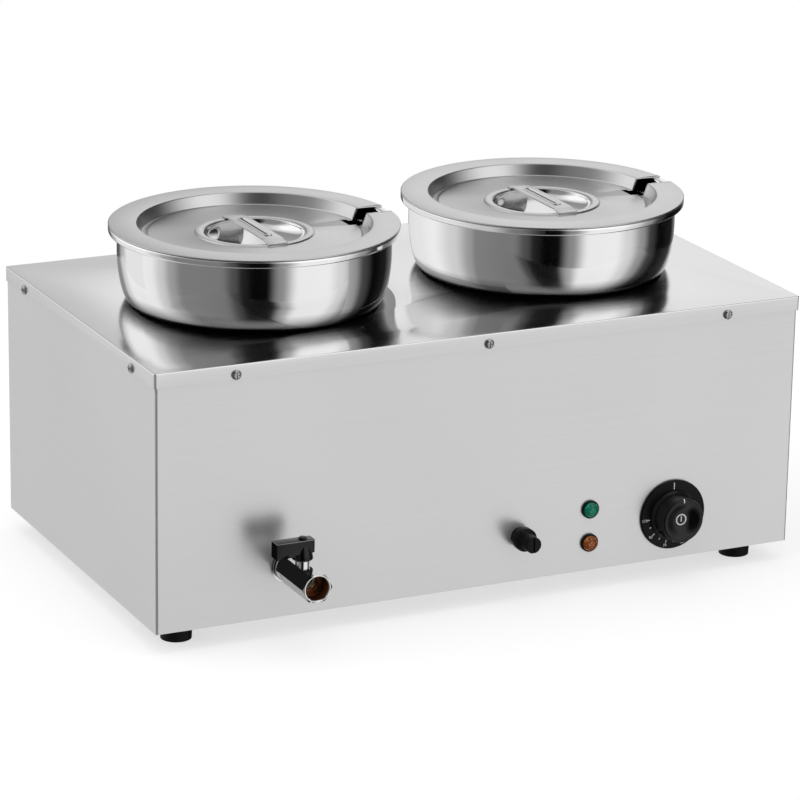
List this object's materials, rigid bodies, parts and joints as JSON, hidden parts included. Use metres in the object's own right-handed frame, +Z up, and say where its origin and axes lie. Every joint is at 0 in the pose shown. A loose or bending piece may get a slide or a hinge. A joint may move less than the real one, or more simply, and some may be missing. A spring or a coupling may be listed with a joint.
{
  "type": "bain-marie",
  "caption": "Countertop bain-marie: brushed steel casing with a heated water tank, lidded round pots hanging in the deck, front drain ball valve, pilot lamps, fuse and thermostat dial.",
  "frame": {"origin": "centre of the bounding box's base, on the surface that the feet stand on", "axes": "+Z up, the front with the controls faces -Y, +X along the length to the viewer's right"},
  "size_m": [0.6218, 0.441, 0.3179],
  "materials": {
    "brushed_steel": "brushed",
    "polished_steel": "mirror polished",
    "satin_steel": "satin",
    "zinc": "zinc plated",
    "sheath": "matt",
    "brass": "plain",
    "copper": "plain",
    "chrome": "polished",
    "seat_plastic": "plain",
    "black_plastic": "satin",
    "black_gloss": "satin",
    "rubber": "matt",
    "white_print": "plain",
    "green_lens": "clear coloured",
    "amber_lens": "clear coloured",
    "white_plastic": "plain",
    "fuse_glass": "clear",
    "phenolic": "plain",
    "wire": "plain"
  },
  "bodies": {
    "casing": {"casing_wrap": "brushed_steel", "rear_panel": "brushed_steel", "base_pan": "brushed_steel", "top_deck": "brushed_steel", "casing_screws": "zinc", "base_screws": "zinc", "feet": "rubber", "foot_screws": "zinc", "water_tank": "satin_steel", "heating_element": "sheath", "element_rests": "satin_steel", "element_nuts": "brass", "element_terminals": "brass", "drain_elbow": "brass", "drain_nut": "brass", "drain_pipe": "brass", "drain_locknut": "brass", "valve_escutcheon": "chrome", "valve_body": "chrome", "valve_seats": "seat_plastic", "seat_retainer": "brass", "packing_nut": "chrome", "thermostat_body": "white_plastic", "thermostat_screws": "zinc", "thermostat_capillary": "copper", "sensor_bulb": "copper", "capillary_gland": "brass", "dial_plate": "black_plastic", "dial_marks": "white_print", "green_lamp_bezel": "black_gloss", "green_lamp_lens": "green_lens", "amber_lamp_bezel": "black_gloss", "amber_lamp_lens": "amber_lens", "lamp_bodies": "white_plastic", "lamp_nuts": "zinc", "fuse_holder": "black_plastic", "fuse_holder_nut": "black_plastic", "overheat_cutout": "phenolic", "terminal_block": "white_plastic", "earth_stud": "brass", "cable_gland": "black_plastic", "gland_nut": "black_plastic", "wiring": "wire"},
    "pot_left": {"pot_left": "polished_steel"},
    "pot_right": {"pot_right": "polished_steel"},
    "lid_left": {"lid_left": "satin_steel", "lid_handle_left": "satin_steel"},
    "lid_right": {"lid_right": "satin_steel", "lid_handle_right": "satin_steel"},
    "lever": {"valve_lever": "black_plastic", "lever_screw": "zinc", "valve_stem": "chrome", "valve_ball": "chrome"},
    "knob": {"dial_knob": "black_gloss", "knob_marks": "white_print", "thermostat_shaft": "chrome"},
    "fuse_carrier": {"fuse_link": "fuse_glass"},
    "fuse_cap": {"fuse_cap": "black_plastic"}
  },
  "joints": [
    {"name": "pot_left_lift", "type": "slide", "parent": "casing", "child": "pot_left", "axis": [0, 0, 1], "range_m": [0, 0.2]},
    {"name": "pot_right_lift", "type": "slide", "parent": "casing", "child": "pot_right", "axis": [0, 0, 1], "range_m": [0, 0.2]},
    {"name": "lid_left_lift", "type": "slide", "parent": "pot_left", "child": "lid_left", "axis": [0, 0, 1], "range_m": [0, 0.08]},
    {"name": "lid_right_lift", "type": "slide", "parent": "pot_right", "child": "lid_right", "axis": [0, 0, 1], "range_m": [0, 0.08]},
    {"name": "lever_turn", "type": "hinge", "parent": "casing", "child": "lever", "pos_m": [-0.187, -0.1885, 0.065], "axis": [0, 0, 1], "range_deg": [0, 90]},
    {"name": "knob_turn", "type": "hinge", "parent": "casing", "child": "knob", "pos_m": [0.187, -0.1565, 0.0605], "axis": [0, 1, 0], "range_deg": [0, 265]},
    {"name": "fuse_pull", "type": "slide", "parent": "casing", "child": "fuse_carrier", "axis": [0, -1, 0], "range_m": [0, 0.05]},
    {"name": "fuse_cap_turn", "type": "hinge", "parent": "fuse_carrier", "child": "fuse_cap", "pos_m": [0.035, -0.1565, 0.0605], "axis": [0, -1, 0], "range_deg": [0, 90]}
  ]
}
